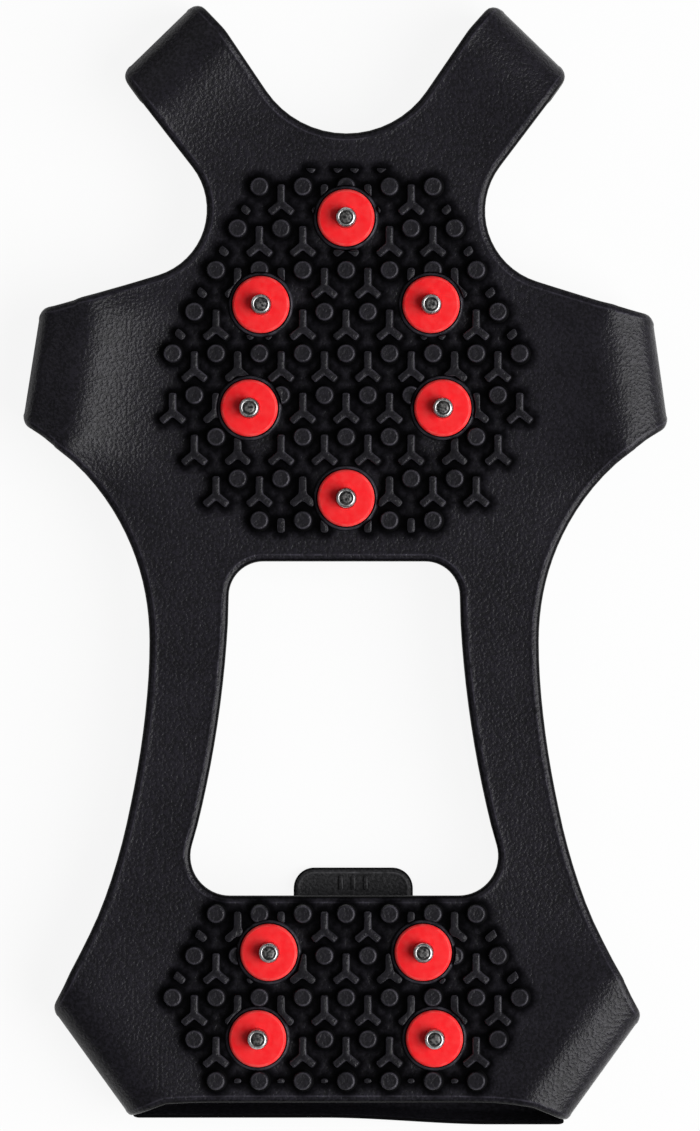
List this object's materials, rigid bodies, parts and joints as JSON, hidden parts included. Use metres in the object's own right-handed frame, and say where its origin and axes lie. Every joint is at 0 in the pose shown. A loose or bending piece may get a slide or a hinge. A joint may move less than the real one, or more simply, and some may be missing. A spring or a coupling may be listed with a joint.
{
  "type": "ice cleat",
  "caption": "Slip-on rubber ice cleat packed flat, tread up: studded forefoot and heel pads, waist strips and rolled straps that lead to an elastic ring with a heel pull tab.",
  "frame": {"origin": "centre of the bounding box, on the floor that the folded ring lies on", "axes": "+Y towards the toe, +Z out of the tread, +X to the right seen from the tread side"},
  "size_m": [0.1554, 0.2675, 0.0251],
  "materials": {
    "rubber": "fine moulded grain",
    "disc_plastic": "satin",
    "pin_steel": "zinc plated",
    "tip_carbide": "sintered"
  },
  "bodies": {
    "upper_ring": {"toe_band": "rubber", "side_rail_left": "rubber", "side_rail_right": "rubber", "heel_band": "rubber", "toe_roll_left": "rubber", "toe_roll_right": "rubber", "side_roll_left": "rubber", "side_roll_right": "rubber", "heel_roll_left": "rubber", "heel_roll_right": "rubber"},
    "sole": {"forefoot_pad": "rubber", "heel_pad": "rubber", "waist_strip_left": "rubber", "waist_strip_right": "rubber", "toe_strap_left": "rubber", "toe_strap_right": "rubber", "side_strap_left": "rubber", "side_strap_right": "rubber", "heel_strap_left": "rubber", "heel_strap_right": "rubber", "disc_toe": "disc_plastic", "disc_shoulder_left": "disc_plastic", "disc_shoulder_right": "disc_plastic", "disc_ball_left": "disc_plastic", "disc_ball_right": "disc_plastic", "disc_arch": "disc_plastic", "disc_heel_front_left": "disc_plastic", "disc_heel_front_right": "disc_plastic", "disc_heel_rear_left": "disc_plastic", "disc_heel_rear_right": "disc_plastic", "pin_toe": "pin_steel", "pin_shoulder_left": "pin_steel", "pin_shoulder_right": "pin_steel", "pin_ball_left": "pin_steel", "pin_ball_right": "pin_steel", "pin_arch": "pin_steel", "pin_heel_front_left": "pin_steel", "pin_heel_front_right": "pin_steel", "pin_heel_rear_left": "pin_steel", "pin_heel_rear_right": "pin_steel", "stud_tips": "tip_carbide"},
    "pull_tab": {"heel_pull_tab": "rubber"}
  },
  "joints": [
    {"name": "sole_lift", "type": "slide", "parent": "upper_ring", "child": "sole", "axis": [0, 0, 1], "range_m": [0, 0.035], "stiffness_N_per_m": 150, "deforming": ["toe_roll_left", "toe_roll_right", "side_roll_left", "side_roll_right", "heel_roll_left", "heel_roll_right"]},
    {"name": "tab_lift", "type": "hinge", "parent": "upper_ring", "child": "pull_tab", "pos_m": [0, -0.089, 0.003], "axis": [1, 0, 0], "range_deg": [0, 40], "stiffness_Nm_per_rad": 0.02}
  ]
}
